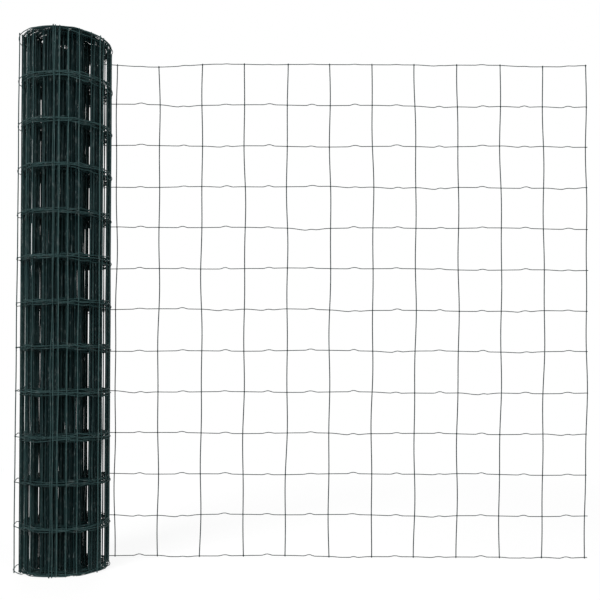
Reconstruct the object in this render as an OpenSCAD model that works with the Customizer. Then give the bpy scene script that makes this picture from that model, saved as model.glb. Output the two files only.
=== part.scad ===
// Roll of welded wire fencing, standing on end, with a leaf of it unrolled to one side.
// Millimetres. Z is up, the roll's axis is Z and its foot is on Z = 0.
// The leaf leaves the roll at the back (+Y) and runs along +X.

/* [Mesh] */
// Spacing of the upright stay wires along the fence
stay_pitch = 104.3; // [90:0.1:120]
// Spacing of the level line wires up the fence
line_pitch = 100; // [80:1:120]
// Cells in the height of the fence
cells_high = 12; // [6:1:14]
// Thickness of a coated stay wire
stay_d = 2.5; // [1.8:0.1:3]
// Thickness of a coated line wire
line_d = 1.9; // [1.5:0.1:3]
// Depth that a stay is pressed into a line wire at each weld
weld_sink = 0.5; // [0.3:0.1:0.7]
// Length of a stay past the top and bottom line wires
stay_tail = 2; // [2:0.5:8]

/* [Tension crimp] */
// Rise of the crimp that each cell of a line wire has
crimp_h = 3; // [2:0.5:6]
// Width of the crimp at its foot
crimp_w = 26; // [20:1:36]
// Width of the crimp at its crest
crest_w = 7; // [4:0.5:12]
// Distance of the crimp past the middle of its cell
crimp_shift = 7; // [0:0.5:12]

/* [Roll] */
// Diameter over the stays of the outer turn
roll_d = 205; // [160:1:280]
// Diameter of the open core
bore_d = 42; // [32:1:80]
// Spacing of the turns that show on each end
turn_pitch = 5.5; // [4:0.5:9]
// Width of the round furrow between two turns
furrow_w = 3; // [2:0.25:3.5]
// Line wires that lie side by side in each band
band_wires = 4; // [1:1:4]
// Spacing of the line wires within a band
band_step = 4; // [2:0.5:5]
// Depth of the wall between the bands below the wires of the bands
wall_drop = 8; // [2:0.5:12]
// Stays of the next turns that show as ribs on that wall
wall_stays = 12; // [4:1:18]

/* [Leaf] */
// Whole cells of the leaf past its first clear stay
leaf_cells = 11; // [3:1:14]
// Distance from the roll's axis to the first clear stay
leaf_lead = 90; // [80:1:100]
// Length of a line wire past the last stay
line_tail = 6; // [2:0.5:12]
// Length of the leaf's start that still lies round the roll, past its hidden stay
lap_tail = 40; // [20:1:60]
// Space between the leaf's start and the turn below it
lap_gap = 0.3; // [0.1:0.1:0.6]

/* [Hidden] */
fence_green = [0.06, 0.17, 0.14];
round_fn = 96;
wire_sides = 6;
lap_step_max = 5;
leave_angle = 90;

stay_len = cells_high * line_pitch + line_d + 2 * stay_tail;
row_z0 = stay_tail + line_d / 2;
weld_reach = (line_d + stay_d) / 2 - weld_sink;

// Radii of the roll, from the outside in
outer_stay_r = (roll_d - stay_d) / 2;
band_r = outer_stay_r - weld_reach;
web_r = band_r - line_d / 4;
wall_r = band_r - wall_drop;
bore_r = bore_d / 2;

// One wire of a band lies at its row's own height, and the others lie below and above it
band_low = floor(band_wires / 2);
band_under = band_low * band_step + line_d / 2;
band_over = (band_wires - 1 - band_low) * band_step + line_d / 2;

// The spiral grows by half a pitch in each half turn
half_step = turn_pitch / 2;
first_furrow_r = bore_r + half_step;
half_turns = floor((wall_r - first_furrow_r - half_step) / half_step);

// The leaf lies one wire outside the bands of the roll
lap_r = band_r + line_d + lap_gap;
hidden_stay_s = leaf_lead - stay_pitch;
leaf_end_s = leaf_lead + leaf_cells * stay_pitch + line_tail;
lap_angle = (lap_tail - min(hidden_stay_s, 0)) / lap_r * 180 / PI;
lap_steps = ceil(lap_angle / lap_step_max);
crimp_slope = atan2(crimp_h, (crimp_w - crest_w) / 2);

// Stays of the outer turn, from the one after the leaf's lap to the one before the leaf's back
free_turn = 340;
first_turn_s = stay_pitch - hidden_stay_s;
turn_stays = 1 + floor((free_turn * PI / 180 * outer_stay_r - first_turn_s) / stay_pitch);

// Height of a line wire's axis
function row_z(row) = row_z0 + row * line_pitch;

// Height of the wire that a band is built about, with the band kept between the ends of the roll
function band_z(row) = min(max(row_z(row), band_under), stay_len - band_over);

// Bearing of the stay that is number k along the fence, counted from the leaf's lap inward
function stay_bearing(k, r) = leave_angle + (first_turn_s + k * stay_pitch) / r * 180 / PI;

// Place on the leaf at length s from the point where it leaves the roll, moved outward by off
function on_leaf(s, off) =
    s >= 0
    ? [s, lap_r + off]
    : let (turn = -s / lap_r * 180 / PI)
      [-(lap_r + off) * sin(turn), (lap_r + off) * cos(turn)];

// A station of a swept wire: its place, its sideways vector and its upward vector
function lap_station(turn) =
    let (mitre = 1 / cos(lap_angle / lap_steps / 2))
    [[-lap_r * sin(turn), lap_r * cos(turn), 0],
     [-sin(turn) * mitre, cos(turn) * mitre, 0],
     [0, 0, 1]];

function flat_station(x, rise, lean) =
    let (mitre = 1 / cos(crimp_slope / 2))
    [[x, lap_r, rise],
     [0, 1, 0],
     lean == 0 ? [0, 0, 1] : [-sin(lean) * mitre, 0, cos(lean) * mitre]];

function crimp_stations(x) = [
    flat_station(x - crimp_w / 2, 0, crimp_slope / 2),
    flat_station(x - crest_w / 2, crimp_h, crimp_slope / 2),
    flat_station(x + crest_w / 2, crimp_h, -crimp_slope / 2),
    flat_station(x + crimp_w / 2, 0, -crimp_slope / 2)
];

// A line wire of the leaf: the lap round the roll, then the flat run with one crimp a cell
function line_stations() = concat(
    [for (i = [0 : lap_steps]) lap_station(lap_angle * (1 - i / lap_steps))],
    [for (cell = [0 : leaf_cells])
        each crimp_stations(hidden_stay_s + (cell + 0.5) * stay_pitch + crimp_shift)],
    [flat_station(leaf_end_s, 0, 0)]
);

// Skin over a row of stations, with a few-sided section of radius r
module swept_wire(stations, r) {
    rings = len(stations);
    points = [
        for (st = stations, k = [0 : wire_sides - 1])
            let (a = k * 360 / wire_sides)
            st[0] + r * cos(a) * st[1] + r * sin(a) * st[2]
    ];
    skin = [
        for (i = [0 : rings - 2], k = [0 : wire_sides - 1])
            let (next = (k + 1) % wire_sides)
            [i * wire_sides + k, (i + 1) * wire_sides + k,
             (i + 1) * wire_sides + next, i * wire_sides + next]
    ];
    start_cap = [for (k = [0 : wire_sides - 1]) k];
    end_cap = [for (k = [wire_sides - 1 : -1 : 0]) (rings - 1) * wire_sides + k];
    polyhedron(points, concat(skin, [start_cap, end_cap]));
}

module stay_wire(place) {
    translate([place[0], place[1], 0])
        rotate([0, 0, 180 / wire_sides])
            cylinder(h = stay_len, d = stay_d, $fn = wire_sides);
}

// Half section of the roll: a plain wall with a web and a band of wires at every row
module roll_section() {
    translate([bore_r, 0])
        square([wall_r - bore_r, stay_len]);
    for (row = [0 : cells_high]) {
        translate([bore_r, band_z(row) - band_under])
            square([web_r - bore_r, band_under + band_over]);
        for (k = [0 : band_wires - 1])
            translate([band_r, band_z(row) + (k - band_low) * band_step])
                circle(d = line_d, $fn = wire_sides);
    }
}

// Furrow between the turns: half rings about two centres, growing outward clockwise from above
module turn_furrow() {
    for (half = [0 : half_turns - 1])
        translate([half % 2 == 0 ? 0 : half_step, 0, 0])
            rotate([0, 0, half % 2 == 0 ? 180 : 0])
                rotate_extrude(angle = 180, $fn = round_fn)
                    translate([first_furrow_r + half * half_step, 0])
                        circle(d = furrow_w, $fn = round_fn);
}

module rolled_fencing() {
    color(fence_green) {
        difference() {
            rotate_extrude($fn = round_fn)
                roll_section();
            turn_furrow();
            translate([0, 0, stay_len])
                turn_furrow();
        }
        for (k = [0 : turn_stays - 1])
            let (turn = stay_bearing(k, outer_stay_r))
            stay_wire(outer_stay_r * [cos(turn), sin(turn)]);
        for (k = [turn_stays : turn_stays + wall_stays - 1])
            let (turn = stay_bearing(k, wall_r))
            stay_wire(wall_r * [cos(turn), sin(turn)]);
    }
}

module unrolled_leaf() {
    color(fence_green) {
        for (row = [0 : cells_high])
            translate([0, 0, row_z(row)])
                swept_wire(line_stations(), line_d / 2);
        for (k = [0 : leaf_cells + 1])
            stay_wire(on_leaf(hidden_stay_s + k * stay_pitch, weld_reach));
    }
}

rolled_fencing();
unrolled_leaf();
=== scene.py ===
"""Looks of a roll of welded wire fencing that stands on end with a leaf of it unrolled.

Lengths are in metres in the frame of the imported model: Z is up, the roll's axis is Z, and the leaf
leaves the roll at its back and runs along +X. The fence is one sheet of wires, and s is the length
along that sheet: 0 where the leaf leaves the roll, positive on the leaf, negative round the roll.
"""

import logging
import math
from dataclasses import dataclass
from enum import Enum

import bpy
import numpy as np
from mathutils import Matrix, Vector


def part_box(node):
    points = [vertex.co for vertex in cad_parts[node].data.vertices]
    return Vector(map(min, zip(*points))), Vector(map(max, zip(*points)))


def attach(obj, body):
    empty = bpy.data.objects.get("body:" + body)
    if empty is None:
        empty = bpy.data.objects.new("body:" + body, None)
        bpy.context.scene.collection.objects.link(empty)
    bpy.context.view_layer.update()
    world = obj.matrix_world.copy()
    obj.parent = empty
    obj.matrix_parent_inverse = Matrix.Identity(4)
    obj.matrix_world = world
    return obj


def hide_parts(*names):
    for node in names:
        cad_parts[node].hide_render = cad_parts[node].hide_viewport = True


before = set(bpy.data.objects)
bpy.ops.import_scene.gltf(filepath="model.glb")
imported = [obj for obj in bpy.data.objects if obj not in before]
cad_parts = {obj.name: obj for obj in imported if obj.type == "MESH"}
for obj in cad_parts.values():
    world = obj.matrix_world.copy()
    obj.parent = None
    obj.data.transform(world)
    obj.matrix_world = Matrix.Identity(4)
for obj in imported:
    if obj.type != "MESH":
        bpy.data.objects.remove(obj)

LOG = logging.getLogger("fencing")
MM = 0.001

# Cut end of a wire: share of the radius at its face, and depth of the ring that is drawn in
CUT_SHARE = 0.8
CUT_DEPTH = 0.3 * MM

# Roll: radius of the open core, space under the loose turn, length of fence in the roll, and
# length of the leaf that starts round it
CORE_R = 21 * MM
LOOSE_GAP = 0.5 * MM
WOUND = 40.0
LAP = 56 * MM


class Node(str, Enum):
    """CAD nodes that the wire pieces stand for."""

    ROLL = "rolled_fencing"
    LEAF = "unrolled_leaf"


class Slot(str, Enum):
    """Material slots of the record."""

    COATING = "green_coating"


class Seed(int, Enum):
    """Starting numbers of the random draws, one for each kind of unevenness."""

    CRIMPS = 11
    ROW_SWAY = 23
    STAY_SWAY = 24
    SLIP = 37
    ROLL_TONE = 41
    TAILS = 47
    LEAF_LINE_TONE = 91
    LEAF_STAY_TONE = 101
    PITCH = 7211
    LUMPS = 7212


@dataclass
class WireMesh:
    """Arrays of one joined mesh of wires.

    Attributes:
        points: vertex places, shape (n, 3).
        quads: vertex numbers of the four-sided faces, shape (m, 4).
        caps: vertex numbers of the end faces, shape (k, sides).
        tone: shade of the wire that each vertex belongs to, shape (n,).
        cut: 1 at the bare steel of a cut end and 0 elsewhere, shape (n,).
    """

    points: np.ndarray
    quads: np.ndarray
    caps: np.ndarray
    tone: np.ndarray
    cut: np.ndarray

    def to_object(self, name: str) -> bpy.types.Object:
        """Make a Blender object of the arrays and link it to the scene.

        Args:
            name: name of the object and of its mesh.

        Returns:
            The new object, at the origin.
        """
        data = bpy.data.meshes.new(name)
        corners = np.concatenate([self.quads.ravel(), self.caps.ravel()])
        quad_corners = self.quads.size
        starts = np.concatenate(
            [np.arange(len(self.quads)) * 4,
             quad_corners + np.arange(len(self.caps)) * self.caps.shape[1]]
        )
        smooth = np.arange(len(starts)) < len(self.quads)
        data.vertices.add(len(self.points))
        data.vertices.foreach_set("co", self.points.astype(np.float32).ravel())
        data.loops.add(len(corners))
        data.loops.foreach_set("vertex_index", corners.astype(np.int32))
        data.polygons.add(len(starts))
        data.polygons.foreach_set("loop_start", starts.astype(np.int32))
        data.polygons.foreach_set("use_smooth", smooth)
        data.update(calc_edges=True)
        for label, values in (("tone", self.tone), ("cut", self.cut)):
            layer = data.attributes.new(label, "FLOAT", "POINT")
            layer.data.foreach_set("value", values.astype(np.float32))
        piece = bpy.data.objects.new(name, data)
        bpy.context.scene.collection.objects.link(piece)
        return piece


def sweep(
    paths: np.ndarray,
    normals: np.ndarray,
    radius: np.ndarray,
    sides: int,
    tone: np.ndarray,
    cut_ends: tuple[bool, bool],
) -> WireMesh:
    """Carry a round section along many paths at once.

    A vertex is path + radius * (cos a * n + sin a * b): n is the given normal made square to the
    path's tangent t, b is t x n, and a goes once round the section. The last ring at a cut end is
    drawn in a little and marked as bare steel.

    Args:
        paths: stations of each wire, shape (wires, stations, 3).
        normals: a direction that is never along the path, broadcast to the shape of paths.
        radius: radius at each station, broadcast to (wires, stations).
        sides: number of sides of the section.
        tone: shade of each wire, shape (wires,).
        cut_ends: whether the first and the last station are cut ends.

    Returns:
        The closed skins of all the wires as one mesh.
    """
    wires, stations = paths.shape[:2]
    cut = np.zeros(stations)
    cut[[0, -1]] = cut_ends
    step = np.gradient(paths, axis=1)
    tangent = step / np.linalg.norm(step, axis=2, keepdims=True)
    normals = np.broadcast_to(normals, paths.shape)
    across = normals - (normals * tangent).sum(axis=2, keepdims=True) * tangent
    across = across / np.linalg.norm(across, axis=2, keepdims=True)
    third = np.cross(tangent, across)
    angle = np.arange(sides) * (2 * math.pi / sides)
    ring = (
        np.cos(angle)[:, None] * across[:, :, None, :]
        + np.sin(angle)[:, None] * third[:, :, None, :]
    )
    reach = np.broadcast_to(radius * (1 - (1 - CUT_SHARE) * cut), (wires, stations))
    points = paths[:, :, None, :] + reach[:, :, None, None] * ring
    number = np.arange(wires * stations * sides).reshape(wires, stations, sides)
    turned = np.roll(number, -1, axis=2)
    quads = np.stack(
        [number[:, :-1], turned[:, :-1], turned[:, 1:], number[:, 1:]], axis=-1
    )
    caps = np.concatenate([number[:, 0, ::-1], number[:, -1, :]])
    return WireMesh(
        points.reshape(-1, 3),
        quads.reshape(-1, 4),
        caps,
        np.repeat(tone, stations * sides),
        np.tile(np.repeat(cut, sides), wires),
    )


@dataclass
class Wander:
    """Smooth unevenness: a sum of sines with drawn phases, so that it never repeats exactly.

    Attributes:
        seed: start of the random draw.
        rows: number of independent wanders.
        amplitude: largest reach to either side.
        wavelengths: lengths of the waves that are added.
    """

    seed: int
    rows: int
    amplitude: float
    wavelengths: tuple[float, ...]

    def __post_init__(self) -> None:
        """Draw one phase for each row and wave."""
        draw = np.random.default_rng(self.seed)
        self.phases = draw.uniform(0, 2 * math.pi, (self.rows, len(self.wavelengths)))

    def at(self, row: np.ndarray, x: np.ndarray) -> np.ndarray:
        """Mean of sin(2 pi x / wavelength + phase) over the waves, times the amplitude.

        Args:
            row: which of the independent wanders, broadcast against x.
            x: length along the wander.

        Returns:
            The offset at each place.
        """
        row, x = np.broadcast_arrays(row, x)
        waves = np.array(self.wavelengths)
        turn = 2 * math.pi * x[..., None] / waves + self.phases[row]
        return self.amplitude * np.sin(turn).mean(axis=-1)


@dataclass
class Winding:
    """The sheet seen from above: a straight leaf, one loose turn, then tight turns to the core.

    Attributes:
        leave_r: radius of the line wires where the leaf leaves the roll.
        tight_r: radius of the line wires where the tight turns start.
        core_r: radius of the line wires at the core.
        wound: length of fence in the roll.
        bulge: how far the loose turn stands off at the left of the roll.
        slack: how far it stands off at the right of the roll.
        bulge_turns: share of a turn that each of the two bulges takes.
        slack_start: turn at which the bulge at the right starts.
        pitch_spread: how unevenly the turns are pulled tight, as a share of their mean pitch.
        looseness: pitch of the outer turns against that of the turns at the core.
        lump: how far the turns are out of round.
        lump_waves: lengths, in turns, of the waves that make them so.
        lump_ease: number of turns over which this sets in.
        grid: number of steps for each turn of the table that turns length into angle.
    """

    leave_r: float
    tight_r: float
    core_r: float
    wound: float
    bulge: float = 4.5 * MM
    slack: float = 2 * MM
    bulge_turns: float = 0.56
    slack_start: float = 0.5
    pitch_spread: float = 0.75
    looseness: float = 2.2
    lump: float = 1.2 * MM
    lump_waves: tuple[float, ...] = (0.31, 0.47, 0.79)
    lump_ease: float = 2.0
    grid: int = 180

    def __post_init__(self) -> None:
        """Draw the pitch of each turn and work out the table of length against angle."""
        turns = math.ceil(self.wound / (2 * math.pi * self.tight_r))
        self.turn_r = self.wall_radii(turns)
        while 2 * math.pi * self.turn_r.sum() < self.wound:
            turns += 1
            self.turn_r = self.wall_radii(turns)
        self.lumps = Wander(Seed.LUMPS, 1, self.lump, self.lump_waves)
        self.angle = np.linspace(0, 2 * math.pi * (turns + 1), self.grid * (turns + 1))
        radius = self.radius(self.angle)
        step = np.hypot(np.diff(radius), np.diff(self.angle) * (radius[1:] + radius[:-1]) / 2)
        self.length = np.concatenate([[0.0], np.cumsum(step)])

    def wall_radii(self, turns: int) -> np.ndarray:
        """Radius at the start of each turn: drawn pitches that shrink towards the core.

        Args:
            turns: number of tight turns.

        Returns:
            The loose turn's radius, then one radius for each tight turn and one for the core.
        """
        draw = np.random.default_rng(Seed.PITCH)
        pitch = draw.uniform(1 - self.pitch_spread, 1 + self.pitch_spread, turns)
        pitch = pitch * np.linspace(self.looseness, 1, turns)
        drop = np.cumsum(pitch) / pitch.sum() * (self.tight_r - self.core_r)
        return np.concatenate([[self.tight_r] * 2, self.tight_r - drop])

    def radius(self, angle: np.ndarray) -> np.ndarray:
        """Radius after an angle of winding, counted from the place where the leaf leaves.

        The first turn eases from leave_r to tight_r with two rounded bulges on it. Each later turn
        is a spiral with its own pitch, and all of them are a little out of round.

        Args:
            angle: angle of winding in radians.

        Returns:
            The radius of the line wires' axes.
        """
        turn = angle / (2 * math.pi)
        ease = np.clip(turn, 0, 1)
        ease = ease * ease * (3 - 2 * ease)
        left = np.clip(turn / self.bulge_turns, 0, 1)
        right = np.clip((turn - self.slack_start) / self.bulge_turns, 0, 1)
        stand_off = (
            self.bulge * np.sin(math.pi * left) ** 2
            + self.slack * np.sin(math.pi * right) ** 2
        )
        loose = (self.leave_r - self.tight_r) * (1 - ease) + stand_off
        uneven = np.clip((turn - 1) / self.lump_ease, 0, 1)
        inward = uneven * (self.lumps.at(0, turn) - self.lump / 2)
        wall = np.interp(turn, np.arange(len(self.turn_r)), self.turn_r)
        return np.maximum(wall + loose + inward, self.core_r)

    def place(self, s: np.ndarray) -> tuple[np.ndarray, np.ndarray]:
        """Places and outward normals of the sheet at lengths s, with a height of 0.

        Args:
            s: lengths along the sheet.

        Returns:
            Two arrays whose last axis is x, y, z.
        """
        angle = np.interp(-s, self.length, self.angle)
        heading = math.pi / 2 + angle
        normal = np.stack([np.cos(heading), np.sin(heading), np.zeros_like(s)], axis=-1)
        point = self.radius(angle)[..., None] * normal
        point[..., 0] += np.clip(s, 0, None)
        return point, normal


@dataclass
class FenceSheet:
    """The whole mesh: where every wire of the roll and of the leaf runs.

    Attributes:
        winding: the sheet seen from above.
        height: height of the stays.
        leaf_end: length of the leaf to the ends of its longest line wires.
        stay_pitch: spacing of the stays.
        line_pitch: spacing of the line wires.
        rows: number of line wires.
        stay_d: thickness of a stay.
        line_d: thickness of a line wire.
        weld_sink: depth that the two are pressed together at a weld.
        weld_half: half the length of the swelling at a weld.
        weld_swell: share by which a stay is thicker at a weld.
        line_tail: length of a line wire past the last stay.
        stay_tail: length of a stay past the top and bottom line wires.
        crimp_rise: least and largest rise of a tension crimp.
        crimp_half: least and largest half width of a crimp.
        crimp_place: distance of a crimp past the middle of its cell.
        crimp_shift: how far a crimp is off that place.
        top_crimp: share of the rise that is left in the top line wire, which is pulled straight.
        top_wander: how much more the top line wire wanders than the others.
        sag: largest dip of a bent line wire between two stays.
        sag_share: share of the cells whose line wire is bent.
        slip: largest height by which a wound turn has slipped up or down past the others.
        slip_start: length of the outer turn that has not slipped.
        slip_ease: length over which the slip sets in.
        slip_waves: lengths of the waves of the slip along the sheet.
        row_sway: how far a line wire wanders up and down.
        row_waves: lengths of the waves of that wander.
        stay_sway: how far a stay wanders along the sheet.
        stay_waves: lengths of the waves of that wander.
        tight_sway: share of a stay's sway that is left in the tight turns.
        bow: pull of the leaf to the right at mid height, as a share of the length from the roll.
        bow_rest: level of the bow at which the leaf keeps its place.
        lean: how far the loose turn stands off more at its foot than at its head.
        lean_length: length of the loose turn that leans.
    """

    winding: Winding
    height: float
    leaf_end: float
    stay_pitch: float = 104.3 * MM
    line_pitch: float = 100 * MM
    rows: int = 13
    stay_d: float = 2.5 * MM
    line_d: float = 1.9 * MM
    weld_sink: float = 0.5 * MM
    weld_half: float = 1.6 * MM
    weld_swell: float = 0.45
    line_tail: float = 6 * MM
    stay_tail: float = 2 * MM
    crimp_rise: tuple[float, float] = (2.0 * MM, 3.8 * MM)
    crimp_half: tuple[float, float] = (13 * MM, 19 * MM)
    crimp_place: float = 7 * MM
    crimp_shift: float = 2 * MM
    top_crimp: float = 0.4
    top_wander: float = 3.0
    sag: float = 5 * MM
    sag_share: float = 0.3
    slip: float = 6.5 * MM
    slip_start: float = 0.35
    slip_ease: float = 0.6
    slip_waves: tuple[float, ...] = (0.47, 0.81, 1.9)
    row_sway: float = 2.8 * MM
    row_waves: tuple[float, ...] = (0.31, 0.83, 1.7)
    stay_sway: float = 2.8 * MM
    stay_waves: tuple[float, ...] = (0.23, 0.41, 0.83)
    tight_sway: float = 0.5
    bow: float = 0.004
    bow_rest: float = 0.6
    lean: float = 6 * MM
    lean_length: float = 0.45

    def __post_init__(self) -> None:
        """Number the stays and draw the crimps, the slip of the turns and the small unevenness."""
        last_stay = self.leaf_end - self.line_tail
        before = math.floor((last_stay + self.winding.wound) / self.stay_pitch)
        self.stay_s = last_stay - self.stay_pitch * np.arange(before, -1, -1)
        draw = np.random.default_rng(Seed.CRIMPS)
        shape = (self.rows, len(self.stay_s) + 1)
        self.rise = draw.uniform(*self.crimp_rise, shape)
        self.rise[-1] *= self.top_crimp
        self.half = draw.uniform(*self.crimp_half, shape)
        self.shift = self.crimp_place + draw.uniform(-self.crimp_shift, self.crimp_shift, shape)
        self.dip = draw.uniform(0, self.sag, shape) * (draw.uniform(0, 1, shape) < self.sag_share)
        self.slips = Wander(Seed.SLIP, 1, 2 * self.slip, self.slip_waves)
        self.row_wander = Wander(Seed.ROW_SWAY, self.rows, self.row_sway, self.row_waves)
        self.stay_wander = Wander(
            Seed.STAY_SWAY, len(self.stay_s), self.stay_sway, self.stay_waves
        )

    @property
    def weld_reach(self) -> float:
        """Distance between the axes of a stay and a line wire at a weld."""
        return (self.stay_d + self.line_d) / 2 - self.weld_sink

    @property
    def end_reach(self) -> float:
        """Distance from the end of a stay to the axis of the nearest line wire."""
        return self.stay_tail + self.line_d / 2

    def row_height(self, row: np.ndarray, s: np.ndarray) -> np.ndarray:
        """Height of a line wire at a weld: its row, a slow wander and the slip of its turn.

        It is kept off both ends of the roll, so that no turn stands out past the others.

        Args:
            row: numbers of the line wires, from the lowest.
            s: lengths along the sheet.

        Returns:
            The height at each place.
        """
        wander = self.row_wander.at(row, s) * np.where(row == self.rows - 1, self.top_wander, 1)
        middle = self.end_reach + row * self.line_pitch
        height = middle + wander + self.drift(s)
        return np.clip(height, self.end_reach, self.height - self.end_reach)

    def drift(self, s: np.ndarray) -> np.ndarray:
        """Axial slip of the wound turns, with none on the leaf.

        Args:
            s: lengths along the sheet.

        Returns:
            The rise or fall of the sheet at each length.
        """
        wound = np.clip((-s - self.slip_start) / self.slip_ease, 0, 1)
        return wound * np.clip(self.slips.at(0, s), -self.slip, self.slip)

    def crimp(self, row: np.ndarray, s: np.ndarray) -> np.ndarray:
        """Rise of the tension crimp less the dip of a bent wire.

        The crimp is rise * cos(pi/2 * t)^2 with t from -1 to 1 over its width. The dip is
        depth * sin(pi * u)^2 with u from 0 to 1 between two stays.

        Args:
            row: numbers of the line wires.
            s: lengths along the sheet.

        Returns:
            The rise at each place.
        """
        row, s = np.broadcast_arrays(row, s)
        place = (s - self.stay_s[0]) / self.stay_pitch
        cell = np.clip(np.floor(place), 0, self.rise.shape[1] - 1).astype(int)
        between = np.clip(place - cell, 0, 1)
        off = (between - 0.5) * self.stay_pitch - self.shift[row, cell]
        share = np.clip(off / self.half[row, cell], -1, 1)
        bump = self.rise[row, cell] * np.cos(share * math.pi / 2) ** 2
        return bump - self.dip[row, cell] * np.sin(math.pi * between) ** 2

    def warp(self, s: np.ndarray, point: np.ndarray) -> np.ndarray:
        """Bow the leaf to the right at mid height, and lean the loose turn out at its foot.

        Args:
            s: lengths along the sheet.
            point: places on the sheet.

        Returns:
            The moved places.
        """
        moved = point.copy()
        share = np.clip(point[..., 2] / self.height, 0, 1)
        bowed = self.bow * (np.sin(math.pi * share) - self.bow_rest)
        moved[..., 0] += np.clip(s, 0, None) * bowed
        loose = np.sin(math.pi * np.clip(-s / self.lean_length, 0, 1)) ** 2
        moved[..., 0] -= self.lean * loose * (1 - share)
        return moved

    def line_paths(self, rows: np.ndarray, s: np.ndarray) -> tuple[np.ndarray, np.ndarray]:
        """Axes of line wires.

        Args:
            rows: numbers of the line wires, from the lowest.
            s: lengths along the sheet at which they have stations, shape (rows, stations).

        Returns:
            Places and outward normals, shape (rows, stations, 3).
        """
        path, out = self.winding.place(s)
        row = rows[:, None]
        height = self.row_height(row, s) + self.crimp(row, s)
        path[..., 2] = np.maximum(height, self.line_d / 2)
        return self.warp(s, path), out

    def stay_stations(self, weld: np.ndarray, between: int) -> tuple[np.ndarray, np.ndarray]:
        """Stations of stays at their ends, at every weld and between the welds.

        Args:
            weld: heights of the welds, shape (stays, rows).
            between: number of stations between two welds.

        Returns:
            Heights, shape (stays, stations), and the radius at each station.
        """
        near = np.array([-1, -0.5, 0, 0.5, 1])
        at_weld = weld[:, :, None] + near * self.weld_half
        part = np.arange(1, between + 1) / (between + 1)
        clear = weld[:, :-1, None] + np.diff(weld, axis=1)[:, :, None] * part
        cells = np.concatenate([at_weld[:, :-1], clear], axis=2).reshape(len(weld), -1)
        foot = weld[:, :1] - self.end_reach
        head = weld[:, -1:] + self.end_reach
        up = np.concatenate(
            [foot, foot + CUT_DEPTH, cells, at_weld[:, -1], head - CUT_DEPTH, head], axis=1
        )
        swelling = 1 + self.weld_swell * (1 - near * near)
        cell_swelling = np.concatenate([swelling, np.ones(between)])
        share = np.concatenate(
            [[1, 1], np.tile(cell_swelling, self.rows - 1), swelling, [1, 1]]
        )
        return up, share * self.stay_d / 2

    def stay_paths(
        self, stays: np.ndarray, between: int
    ) -> tuple[np.ndarray, np.ndarray, np.ndarray]:
        """Axes of stay wires.

        Args:
            stays: numbers of the stays, from the core.
            between: number of stations between two welds.

        Returns:
            Places and outward normals, shape (stays, stations, 3), and the radius at each station.
        """
        s = self.stay_s[stays]
        flat, out = self.winding.place(s)
        weld = self.row_height(np.arange(self.rows), s[:, None])
        up, radius = self.stay_stations(weld, between)
        side = np.stack([-out[:, 1], out[:, 0], out[:, 2]], axis=-1)
        free = np.where(s > -self.slip_start, 1, self.tight_sway)
        sway = free[:, None] * self.stay_wander.at(stays[:, None], up)
        path = flat[:, None] + sway[..., None] * side[:, None] + self.weld_reach * out[:, None]
        path[..., 2] = up
        normals = np.broadcast_to(out[:, None], path.shape)
        return self.warp(s[:, None], path), normals, radius


class NodeSheet:
    """A small helper that adds shader nodes to a tree and links them."""

    def __init__(self, tree: bpy.types.NodeTree) -> None:
        """Keep the tree and clear it."""
        self.tree = tree
        tree.nodes.clear()

    def add(self, kind: str, **settings: object) -> bpy.types.Node:
        """Add a node.

        Args:
            kind: Blender's name of the node type.
            settings: attributes to set on it.

        Returns:
            The new node.
        """
        node = self.tree.nodes.new(kind)
        for name, value in settings.items():
            setattr(node, name, value)
        return node

    def link(self, source: bpy.types.NodeSocket, target: bpy.types.NodeSocket) -> None:
        """Link an output to an input."""
        self.tree.links.new(source, target)


def coat_group() -> bpy.types.NodeTree:
    """Shader group for the unevenness of a plastic coat: masks for its tint, gloss and dust.

    The tint is the wire's tone, which holds its random shade and, on the roll, painted light and
    shade of its turns, plus a soft noise in Object coordinates. The gloss is a fine noise, and the
    dust is what is left of a middling noise above a level.

    Returns:
        The node group.
    """
    cloud_share = 0.5
    dust_from, dust_to = 0.56, 0.76
    group = bpy.data.node_groups.new("coat_unevenness", "ShaderNodeTree")
    for name in ("Cloud Scale", "Dust Scale", "Fine Scale"):
        group.interface.new_socket(name, in_out="INPUT", socket_type="NodeSocketFloat")
    for name in ("Tint", "Dust", "Gloss"):
        group.interface.new_socket(name, in_out="OUTPUT", socket_type="NodeSocketFloat")
    sheet = NodeSheet(group)
    entry = sheet.add("NodeGroupInput")
    leave = sheet.add("NodeGroupOutput")
    place = sheet.add("ShaderNodeTexCoord")
    tone = sheet.add("ShaderNodeAttribute", attribute_name="tone")
    cloud = sheet.add("ShaderNodeTexNoise")
    dust = sheet.add("ShaderNodeTexNoise")
    fine = sheet.add("ShaderNodeTexNoise")
    for noise, name in ((cloud, "Cloud Scale"), (dust, "Dust Scale"), (fine, "Fine Scale")):
        sheet.link(place.outputs["Object"], noise.inputs["Vector"])
        sheet.link(entry.outputs[name], noise.inputs["Scale"])
    blend = sheet.add("ShaderNodeMath", operation="MULTIPLY_ADD")
    blend.inputs[1].default_value = cloud_share
    level = sheet.add("ShaderNodeMapRange")
    level.inputs["From Min"].default_value = dust_from
    level.inputs["From Max"].default_value = dust_to
    sheet.link(cloud.outputs["Fac"], blend.inputs[0])
    sheet.link(tone.outputs["Fac"], blend.inputs[2])
    sheet.link(dust.outputs["Fac"], level.inputs["Value"])
    sheet.link(blend.outputs["Value"], leave.inputs["Tint"])
    sheet.link(level.outputs["Result"], leave.inputs["Dust"])
    sheet.link(fine.outputs["Fac"], leave.inputs["Gloss"])
    return group


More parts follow.
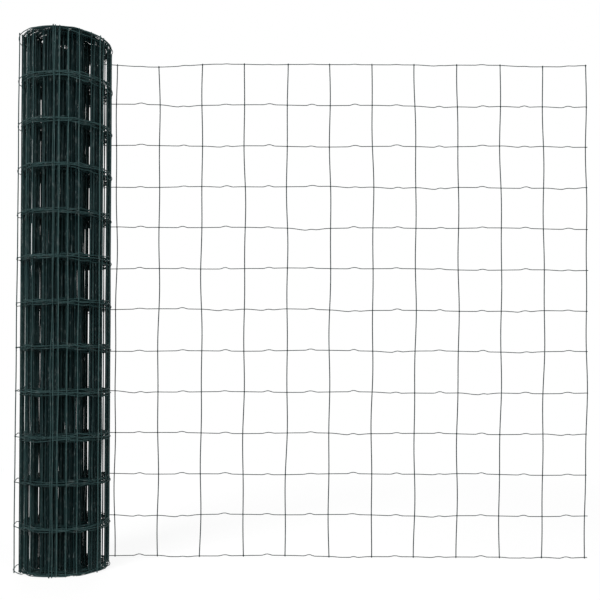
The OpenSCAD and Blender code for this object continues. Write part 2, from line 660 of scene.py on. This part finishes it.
@dataclass(frozen=True)
class CoatingFinish:
    """Dark green plastic coat, satin, with small changes of shade, a little dust and cut ends.

    Attributes:
        deep: colour in the darker places.
        light: colour in the lighter places.
        dusty: colour under a thin film of dust.
        steel: colour of the bare steel at a cut end.
        rough_low: roughness where the coat is shiniest.
        rough_high: roughness where it is dullest.
        shine: specular level of the coat.
        cloud_scale: scale of the changes of shade.
        dust_scale: scale of the dust.
        fine_scale: scale of the changes of gloss and of the bumps.
        bump_strength: strength of the bumps.
        bump_depth: depth of the bumps.
    """

    deep: tuple[float, float, float] = (0.002, 0.010, 0.011)
    light: tuple[float, float, float] = (0.025, 0.051, 0.051)
    dusty: tuple[float, float, float] = (0.048, 0.066, 0.066)
    steel: tuple[float, float, float] = (0.12, 0.12, 0.115)
    rough_low: float = 0.42
    rough_high: float = 0.62
    shine: float = 0.06
    cloud_scale: float = 22.0
    dust_scale: float = 75.0
    fine_scale: float = 420.0
    bump_strength: float = 0.12
    bump_depth: float = 0.1 * MM

    def material(self, group: bpy.types.NodeTree) -> bpy.types.Material:
        """Build the material.

        Args:
            group: the shader group for the coat's unevenness.

        Returns:
            The new material.
        """
        material = bpy.data.materials.new("green_coat")
        material.use_nodes = True
        sheet = NodeSheet(material.node_tree)
        output = sheet.add("ShaderNodeOutputMaterial")
        shader = sheet.add("ShaderNodeBsdfPrincipled")
        shader.inputs["Specular IOR Level"].default_value = self.shine
        coat = sheet.add("ShaderNodeGroup", node_tree=group)
        coat.inputs["Cloud Scale"].default_value = self.cloud_scale
        coat.inputs["Dust Scale"].default_value = self.dust_scale
        coat.inputs["Fine Scale"].default_value = self.fine_scale
        cut = sheet.add("ShaderNodeAttribute", attribute_name="cut")
        # The tint mixes deep and light; on the roll's turns it carries painted light and painted
        # shade.
        shade = sheet.add("ShaderNodeMix", data_type="RGBA")
        shade.inputs["A"].default_value = (*self.deep, 1)
        shade.inputs["B"].default_value = (*self.light, 1)
        film = sheet.add("ShaderNodeMix", data_type="RGBA")
        film.inputs["B"].default_value = (*self.dusty, 1)
        bare = sheet.add("ShaderNodeMix", data_type="RGBA")
        bare.inputs["B"].default_value = (*self.steel, 1)
        gloss = sheet.add("ShaderNodeMapRange")
        gloss.inputs["To Min"].default_value = self.rough_low
        gloss.inputs["To Max"].default_value = self.rough_high
        bump = sheet.add("ShaderNodeBump")
        bump.inputs["Strength"].default_value = self.bump_strength
        bump.inputs["Distance"].default_value = self.bump_depth
        sheet.link(coat.outputs["Tint"], shade.inputs["Factor"])
        sheet.link(coat.outputs["Dust"], film.inputs["Factor"])
        sheet.link(shade.outputs["Result"], film.inputs["A"])
        sheet.link(cut.outputs["Fac"], bare.inputs["Factor"])
        sheet.link(film.outputs["Result"], bare.inputs["A"])
        sheet.link(bare.outputs["Result"], shader.inputs["Base Color"])
        sheet.link(cut.outputs["Fac"], shader.inputs["Metallic"])
        sheet.link(coat.outputs["Gloss"], gloss.inputs["Value"])
        sheet.link(gloss.outputs["Result"], shader.inputs["Roughness"])
        sheet.link(coat.outputs["Gloss"], bump.inputs["Height"])
        sheet.link(bump.outputs["Normal"], shader.inputs["Normal"])
        sheet.link(shader.outputs["BSDF"], output.inputs["Surface"])
        return material


@dataclass
class Dresser:
    """Puts the coat on a piece, hangs it under the root and hides the CAD node it stands for.

    Attributes:
        coat: the material of the coat.
    """

    coat: bpy.types.Material

    def dress(self, piece: bpy.types.Object, node: Node) -> None:
        """Finish a wire piece.

        Args:
            piece: the new piece.
            node: the CAD node it stands for.
        """
        piece.data.materials.append(self.coat)
        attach(piece, "root")
        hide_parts(node.value)
        LOG.info("%s: %d faces", piece.name, len(piece.data.polygons))


def wire_tones(seed: int, wires: int, spread: float, middle: float) -> np.ndarray:
    """Shade of each wire, drawn evenly about a middle.

    Args:
        seed: start of the random draw.
        wires: number of wires.
        spread: largest step to either side.
        middle: the middle of the draw.

    Returns:
        One value for each wire.
    """
    return middle + np.random.default_rng(seed).uniform(-spread, spread, wires)


@dataclass(frozen=True)
class Layer:
    """A stretch of the wound fence that is drawn with one fineness.

    Attributes:
        name: start of the names of its pieces.
        start: length along the sheet at which it starts, towards the core.
        end: length at which it ends.
        steps: stations of a line wire in each cell.
        sides: sides of a wire.
        between: stations of a stay between two welds.
        cut_start: whether the line wires are cut off at the start.
        tone: middle shade of its wires, which paints light and shade: lighter on the outer
            turns as if lit, darker on the inner turns as if shaded.
    """

    name: str
    start: float
    end: float
    steps: int
    sides: int
    between: int
    cut_start: bool
    tone: float


@dataclass
class RolledFencing:
    """The wound part of the fence, from the core to where the leaf's lap starts.

    Attributes:
        sheet: the whole mesh.
        lap: length of the leaf that lies round the roll.
        outer: length of the outer turns, which are drawn finer than the rest.
        line_spread: how far the shades of the line wires differ.
        stay_spread: how far the shades of the stays differ.
        budget: most triangles in one piece.
    """

    sheet: FenceSheet
    lap: float
    outer: float = 3.3
    line_spread: float = 0.15
    stay_spread: float = 0.25
    budget: int = 180_000

    def layers(self) -> list[Layer]:
        """The inner turns, drawn plainly, and the outer turns, drawn finely."""
        core = self.sheet.stay_s[0] - self.sheet.line_tail
        return [
            # The tones are painted light and shade: the outer turns are painted lighter, as if lit
            # from the front, and the inner turns darker, as if shaded.
            Layer(
                "inner_turns", core, -self.outer,
                steps=10, sides=4, between=1, cut_start=True, tone=-0.05,
            ),
            Layer(
                "outer_turns", -self.outer, -self.lap,
                steps=18, sides=6, between=4, cut_start=False, tone=0.4,
            ),
        ]

    def groups(self, wires: int, stations: int, sides: int) -> list[slice]:
        """Share wires out over pieces, so that each piece keeps to the budget.

        Args:
            wires: number of wires.
            stations: stations of each wire.
            sides: sides of each wire.

        Returns:
            The wires of each piece.
        """
        most = max(1, self.budget // (2 * sides * stations))
        share = math.ceil(wires / math.ceil(wires / most))
        return [slice(first, first + share) for first in range(0, wires, share)]

    def line_pieces(self, layer: Layer, dresser: Dresser) -> None:
        """Line wires of a layer, as tubes along the spiral, some rows to a piece.

        Args:
            layer: the stretch to draw.
            dresser: puts the finish on.
        """
        sheet = self.sheet
        count = int((layer.end - layer.start) / sheet.stay_pitch * layer.steps)
        s = np.linspace(layer.start, layer.end, count)
        tone = wire_tones(Seed.ROLL_TONE, sheet.rows, self.line_spread, layer.tone)
        cut = (layer.cut_start, False)
        for number, some in enumerate(self.groups(sheet.rows, count, layer.sides), 1):
            rows = np.arange(sheet.rows)[some]
            path, out = sheet.line_paths(rows, np.tile(s, (len(rows), 1)))
            mesh = sweep(path, out, np.array(sheet.line_d / 2), layer.sides, tone[some], cut)
            dresser.dress(mesh.to_object(f"{layer.name}_line_wires_{number}"), Node.ROLL)

    def stay_pieces(self, layer: Layer, dresser: Dresser) -> None:
        """Stay wires of a layer, as upright tubes, some stays to a piece.

        Args:
            layer: the stretch to draw.
            dresser: puts the finish on.
        """
        sheet = self.sheet
        stays = np.flatnonzero((sheet.stay_s >= layer.start) & (sheet.stay_s < layer.end))
        path, out, radius = sheet.stay_paths(stays, layer.between)
        tone = wire_tones(Seed.ROLL_TONE, len(stays), self.stay_spread, layer.tone)
        for number, some in enumerate(self.groups(*path.shape[:2], layer.sides), 1):
            mesh = sweep(path[some], out[some], radius, layer.sides, tone[some], (True, True))
            dresser.dress(mesh.to_object(f"{layer.name}_stay_wires_{number}"), Node.ROLL)

    def build(self, dresser: Dresser) -> None:
        """Make and dress every piece of the roll.

        Args:
            dresser: puts the finish on.
        """
        for layer in self.layers():
            self.line_pieces(layer, dresser)
            self.stay_pieces(layer, dresser)


@dataclass
class UnrolledLeaf:
    """The flat part of the fence, with the lap that starts it.

    Attributes:
        sheet: the whole mesh.
        lap: length of the leaf that lies round the roll.
        steps: stations of a line wire in each cell.
        sides: sides of a wire.
        between: stations of a stay between two welds.
        long_rows: number of line wires, from the lowest, that are cut off long.
        short_tail: least and largest length of the others past the last stay.
        tone: middle shade of its wires.
        spread: how far their shades differ.
    """

    sheet: FenceSheet
    lap: float
    steps: int = 24
    sides: int = 8
    between: int = 6
    long_rows: int = 2
    short_tail: tuple[float, float] = (1.4 * MM, 3.2 * MM)
    tone: float = -0.15
    spread: float = 0.1

    def line_stations(self) -> np.ndarray:
        """Lengths along the sheet of the stations of every line wire, each with its own end."""
        sheet = self.sheet
        trim = sheet.line_tail - np.random.default_rng(Seed.TAILS).uniform(
            *self.short_tail, sheet.rows
        )
        trim[: self.long_rows] = 0
        end = sheet.leaf_end - trim[:, None]
        count = int((sheet.leaf_end + self.lap) / sheet.stay_pitch * self.steps)
        run = np.linspace(0, 1, count) * (end - CUT_DEPTH + self.lap) - self.lap
        return np.concatenate([run, end], axis=1)

    def build(self, dresser: Dresser) -> None:
        """Make and dress the leaf's line wires and stays.

        Args:
            dresser: puts the finish on.
        """
        sheet = self.sheet
        rows = np.arange(sheet.rows)
        path, out = sheet.line_paths(rows, self.line_stations())
        tone = wire_tones(Seed.LEAF_LINE_TONE, len(rows), self.spread, self.tone)
        lines = sweep(path, out, np.array(sheet.line_d / 2), self.sides, tone, (False, True))
        dresser.dress(lines.to_object("leaf_line_wires"), Node.LEAF)
        stays = np.flatnonzero(sheet.stay_s >= -self.lap)
        path, out, radius = sheet.stay_paths(stays, self.between)
        tone = wire_tones(Seed.LEAF_STAY_TONE, len(stays), self.spread, self.tone)
        uprights = sweep(path, out, radius, self.sides, tone, (True, True))
        dresser.dress(uprights.to_object("leaf_stay_wires"), Node.LEAF)


@dataclass(frozen=True)
class Lamp:
    """A square soft lamp.

    Attributes:
        name: name of the lamp.
        place: where it hangs.
        size: length of its sides.
        power: power in watts.
    """

    name: str
    place: tuple[float, float, float]
    size: float
    power: float

    def hang(self, target: tuple[float, float, float]) -> None:
        """Add the lamp to the scene.

        Args:
            target: the place that it points at.
        """
        data = bpy.data.lights.new(self.name, "AREA")
        data.size = self.size
        data.energy = self.power
        lamp = bpy.data.objects.new(self.name, data)
        lamp.location = self.place
        aim = np.array(target) - np.array(self.place)
        tilt = math.atan2(aim[2], math.hypot(aim[0], aim[1]))
        heading = math.atan2(aim[1], aim[0])
        lamp.rotation_euler = (math.pi / 2 + tilt, 0, heading - math.pi / 2)
        bpy.context.scene.collection.objects.link(lamp)


@dataclass
class Studio:
    """Pale floor, soft light and the camera.

    Attributes:
        image: width and height of the picture in pixels.
        focal: focal length in pixels.
        eye: place of the camera.
        pitch: upward tilt of the camera in radians.
        roll: turn of the camera about its own axis in radians.
        axis_drop: how far the lens axis lies below the middle of the picture, in pixels.
        sensor: width of the sensor in millimetres.
        middle: middle of the object, which the lamps point at.
        floor_size: length of the floor's sides.
        floor_grey: shade of the floor.
        near_glow: share of plain white in what the camera sees of the floor near the object.
        glow_fade: distances between which that share grows to 1.
        soft_sky: strength of the even light from all around.
        lamps: the lamps in front of the object and behind it.
    """

    image: float = 600
    focal: float = 770
    eye: tuple[float, float, float] = (0.540, -1.775, 0.435)
    pitch: float = 0.006
    roll: float = 0.004
    axis_drop: float = 74.2
    sensor: float = 36
    middle: tuple[float, float, float] = (0.4, 0.0, 0.6)
    floor_size: float = 30
    floor_grey: float = 0.9
    near_glow: float = 0.86
    glow_fade: tuple[float, float] = (0.9, 2.2)
    soft_sky: float = 0.1
    lamps: tuple[Lamp, ...] = (
        Lamp("key", (-1.2, -2.6, 2.6), 1.6, 150),
        Lamp("fill", (2.6, -2.2, 1.8), 1.8, 80),
        Lamp("back", (-0.6, 2.8, 2.2), 1.8, 80),
    )

    def seen(self, sheet: NodeSheet) -> bpy.types.NodeSocket:
        """Add nodes that are 1 for rays of the camera, of reflections and through glass.

        Args:
            sheet: the tree that needs the value.

        Returns:
            The output that holds it.
        """
        rays = sheet.add("ShaderNodeLightPath")
        mirrored = sheet.add("ShaderNodeMath", operation="MAXIMUM")
        either = sheet.add("ShaderNodeMath", operation="MAXIMUM")
        sheet.link(rays.outputs["Is Glossy Ray"], mirrored.inputs[0])
        sheet.link(rays.outputs["Is Transmission Ray"], mirrored.inputs[1])
        sheet.link(rays.outputs["Is Camera Ray"], either.inputs[0])
        sheet.link(mirrored.outputs["Value"], either.inputs[1])
        return either.outputs["Value"]

    def floor(self) -> None:
        """A plain pale floor, white to the camera far off, that keeps the object's shadow."""
        half = self.floor_size / 2
        data = bpy.data.meshes.new("floor")
        corners = [(-half, -half, 0), (half, -half, 0), (half, half, 0), (-half, half, 0)]
        data.from_pydata(corners, [], [(0, 1, 2, 3)])
        floor = bpy.data.objects.new("floor", data)
        bpy.context.scene.collection.objects.link(floor)
        material = bpy.data.materials.new("pale_floor")
        material.use_nodes = True
        sheet = NodeSheet(material.node_tree)
        output = sheet.add("ShaderNodeOutputMaterial")
        matt = sheet.add("ShaderNodeBsdfDiffuse")
        matt.inputs["Color"].default_value = (*[self.floor_grey] * 3, 1)
        glow = sheet.add("ShaderNodeEmission")
        glow.inputs["Color"].default_value = (1, 1, 1, 1)
        share = sheet.add("ShaderNodeMath", operation="MULTIPLY")
        place = sheet.add("ShaderNodeTexCoord")
        apart = sheet.add("ShaderNodeVectorMath", operation="DISTANCE")
        apart.inputs[1].default_value = (*self.middle[:2], 0)
        fade = sheet.add("ShaderNodeMapRange")
        fade.inputs["From Min"].default_value = self.glow_fade[0]
        fade.inputs["From Max"].default_value = self.glow_fade[1]
        fade.inputs["To Min"].default_value = self.near_glow
        fade.inputs["To Max"].default_value = 1.0
        sheet.link(place.outputs["Object"], apart.inputs[0])
        sheet.link(apart.outputs["Value"], fade.inputs["Value"])
        sheet.link(fade.outputs["Result"], share.inputs[1])
        mix = sheet.add("ShaderNodeMixShader")
        sheet.link(self.seen(sheet), share.inputs[0])
        sheet.link(share.outputs["Value"], mix.inputs["Fac"])
        sheet.link(matt.outputs["BSDF"], mix.inputs[1])
        sheet.link(glow.outputs["Emission"], mix.inputs[2])
        sheet.link(mix.outputs["Shader"], output.inputs["Surface"])
        data.materials.append(material)

    def sky(self) -> None:
        """White to the camera and to reflections, and a soft even light otherwise."""
        world = bpy.data.worlds.new("studio")
        world.use_nodes = True
        sheet = NodeSheet(world.node_tree)
        output = sheet.add("ShaderNodeOutputWorld")
        soft = sheet.add("ShaderNodeBackground")
        soft.inputs["Color"].default_value = (1, 1, 1, 1)
        soft.inputs["Strength"].default_value = self.soft_sky
        white = sheet.add("ShaderNodeBackground")
        white.inputs["Color"].default_value = (1, 1, 1, 1)
        white.inputs["Strength"].default_value = 1.0
        mix = sheet.add("ShaderNodeMixShader")
        sheet.link(self.seen(sheet), mix.inputs["Fac"])
        sheet.link(soft.outputs["Background"], mix.inputs[1])
        sheet.link(white.outputs["Background"], mix.inputs[2])
        sheet.link(mix.outputs["Shader"], output.inputs["Surface"])
        bpy.context.scene.world = world

    def camera(self) -> None:
        """The camera at the viewing angle of the photograph."""
        data = bpy.data.cameras.new("camera")
        data.sensor_fit = "HORIZONTAL"
        data.sensor_width = self.sensor
        data.lens = self.focal / self.image * self.sensor
        data.shift_y = self.axis_drop / self.image
        camera = bpy.data.objects.new("camera", data)
        camera.location = self.eye
        camera.rotation_mode = "ZXY"
        camera.rotation_euler = (math.pi / 2 + self.pitch, 0, self.roll)
        bpy.context.scene.collection.objects.link(camera)
        bpy.context.scene.camera = camera

    def build(self) -> None:
        """Set up the stage."""
        self.floor()
        self.sky()
        for lamp in self.lamps:
            lamp.hang(self.middle)
        self.camera()
        bpy.context.scene.view_settings.view_transform = "Standard"


def main() -> None:
    """Build the fence and the stage from the boxes of the two CAD parts."""
    logging.basicConfig(level=logging.INFO, format="%(message)s")
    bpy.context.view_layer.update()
    roll_low, roll_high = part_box(Node.ROLL.value)
    leaf_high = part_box(Node.LEAF.value)[1]
    line_r = FenceSheet.line_d / 2
    under = FenceSheet.stay_d - FenceSheet.weld_sink + line_r
    winding = Winding(
        leave_r=leaf_high[1] - under,
        tight_r=-roll_low[1] - under - LOOSE_GAP,
        core_r=CORE_R + line_r,
        wound=WOUND,
    )
    sheet = FenceSheet(winding, height=roll_high[2], leaf_end=leaf_high[0])
    dresser = Dresser(CoatingFinish().material(coat_group()))
    RolledFencing(sheet, LAP).build(dresser)
    UnrolledLeaf(sheet, LAP).build(dresser)
    Studio().build()


if __name__ == "__main__":
    main()
